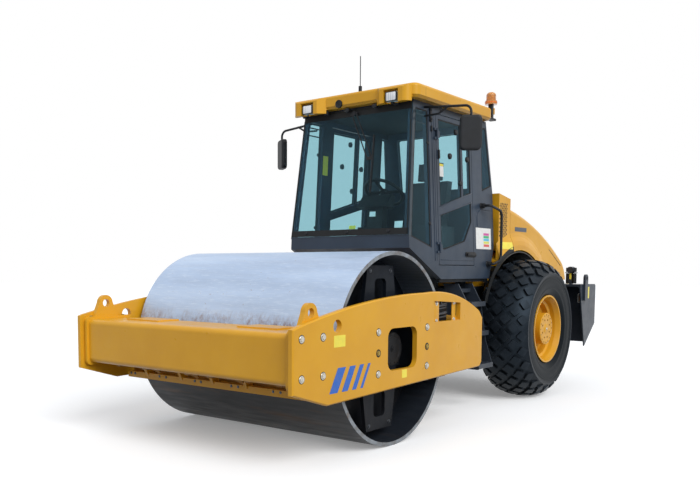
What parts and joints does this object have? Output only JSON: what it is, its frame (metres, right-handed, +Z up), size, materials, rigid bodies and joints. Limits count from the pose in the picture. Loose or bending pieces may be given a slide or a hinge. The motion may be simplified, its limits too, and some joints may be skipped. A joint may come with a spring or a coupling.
{
  "type": "single-drum road roller",
  "caption": "Articulated road roller with a steel drum in a front frame, a closed cab, a tilting hood and two rear tyres.",
  "frame": {"origin": "on the ground under the middle of the machine's length and width", "axes": "+X forward towards the drum, +Y left, +Z up"},
  "size_m": [5.88, 2.327, 3.308],
  "materials": {
    "yellow_paint": "gloss",
    "grey_paint": "satin",
    "cab_paint": "gloss",
    "black_metal": "matte",
    "tinted_glass": "gloss",
    "lamp_glass": "gloss",
    "black_plastic": "matte",
    "amber_plastic": "gloss",
    "seat_cloth": "matte",
    "drum_steel": "worn",
    "tyre_rubber": "matte",
    "chromed_rod": "polished"
  },
  "bodies": {
    "rear_unit": {"rear_frame": "grey_paint", "rear_axle": "grey_paint", "counterweight": "grey_paint", "rear_lugs": "grey_paint", "engine": "black_metal", "radiator": "black_metal", "side_tanks": "grey_paint", "access_steps": "grey_paint", "cab_side_left": "cab_paint", "cab_side_right": "cab_paint", "cab_front_panel": "cab_paint", "cab_rear_wall": "cab_paint", "cab_header": "cab_paint", "cab_floor": "black_metal", "cab_glazing": "tinted_glass", "cab_roof": "yellow_paint", "lamps": "lamp_glass", "beacon_base": "black_plastic", "beacon": "amber_plastic", "mirrors": "black_plastic", "operator_seat": "seat_cloth", "steering_console": "black_plastic", "wiper": "black_plastic", "intake_housing": "yellow_paint", "grab_rails": "black_plastic"},
    "centre_joint": {"articulation_yoke": "grey_paint"},
    "front_unit": {"side_plate_left": "yellow_paint", "side_plate_right": "yellow_paint", "front_beam": "yellow_paint", "rear_crossmember": "yellow_paint", "front_lifting_ears": "yellow_paint", "drum_carriers": "grey_paint", "drum_scrapers": "yellow_paint"},
    "drum": {"drum_shell": "drum_steel", "drum_webs": "grey_paint"},
    "wheel_left": {"tyre_left": "tyre_rubber", "wheel_rim_left": "yellow_paint"},
    "wheel_right": {"tyre_right": "tyre_rubber", "wheel_rim_right": "yellow_paint"},
    "door_left": {"door_left": "cab_paint", "door_glass_left": "tinted_glass"},
    "door_right": {"door_right": "cab_paint", "door_glass_right": "tinted_glass"},
    "hood": {"engine_hood": "yellow_paint", "rear_grille": "black_plastic"},
    "steering_barrel_left": {"steering_barrel_left": "black_metal"},
    "steering_rod_left": {"steering_rod_left": "chromed_rod"},
    "steering_barrel_right": {"steering_barrel_right": "black_metal"},
    "steering_rod_right": {"steering_rod_right": "chromed_rod"}
  },
  "joints": [
    {"name": "articulation", "type": "hinge", "parent": "rear_unit", "child": "centre_joint", "pos_m": [0.13, 0, 0.7], "axis": [0, 0, 1], "range_deg": [-35, 35]},
    {"name": "oscillation", "type": "hinge", "parent": "centre_joint", "child": "front_unit", "pos_m": [0.13, 0, 0.7], "axis": [1, 0, 0], "range_deg": [-10, 10]},
    {"name": "drum_roll", "type": "hinge", "parent": "front_unit", "child": "drum", "pos_m": [1.627, 0, 0.75], "axis": [0, 1, 0], "continuous": true},
    {"name": "wheel_left_roll", "type": "hinge", "parent": "rear_unit", "child": "wheel_left", "pos_m": [-1.366, 0.8, 0.735], "axis": [0, 1, 0], "continuous": true},
    {"name": "wheel_right_roll", "type": "hinge", "parent": "rear_unit", "child": "wheel_right", "pos_m": [-1.366, -0.8, 0.735], "axis": [0, 1, 0], "continuous": true},
    {"name": "door_left_swing", "type": "hinge", "parent": "rear_unit", "child": "door_left", "pos_m": [0.28, 0.66225, 2.1], "axis": [0, 0.0506, -0.9987], "range_deg": [0, 85]},
    {"name": "door_right_swing", "type": "hinge", "parent": "rear_unit", "child": "door_right", "pos_m": [0.28, -0.66225, 2.1], "axis": [0, 0.0506, 0.9987], "range_deg": [0, 85]},
    {"name": "hood_tilt", "type": "hinge", "parent": "rear_unit", "child": "hood", "pos_m": [-2.785, 0, 1.255], "axis": [0, -1, 0], "range_deg": [0, 60]},
    {"name": "steering_left_swing", "type": "hinge", "parent": "rear_unit", "child": "steering_barrel_left", "pos_m": [-0.52, 0.292, 0.7], "axis": [0, 0, 1], "range_deg": [-1, 1]},
    {"name": "steering_left_slide", "type": "slide", "parent": "steering_barrel_left", "child": "steering_rod_left", "axis": [0.9939, -0.1103, 0], "range_m": [-0.13, 0.13]},
    {"name": "steering_right_swing", "type": "hinge", "parent": "rear_unit", "child": "steering_barrel_right", "pos_m": [-0.52, -0.292, 0.7], "axis": [0, 0, 1], "range_deg": [-1, 1]},
    {"name": "steering_right_slide", "type": "slide", "parent": "steering_barrel_right", "child": "steering_rod_right", "axis": [0.9939, 0.1103, 0], "range_m": [-0.13, 0.13]}
  ],
  "couplings": [
    {"joint": "steering_left_swing", "follows": "articulation", "ratio": 0.0246},
    {"joint": "steering_right_swing", "follows": "articulation", "ratio": 0.0246},
    {"joint": "steering_left_slide", "follows": "articulation", "m_per_rad": -0.2106},
    {"joint": "steering_right_slide", "follows": "articulation", "m_per_rad": 0.2106}
  ]
}
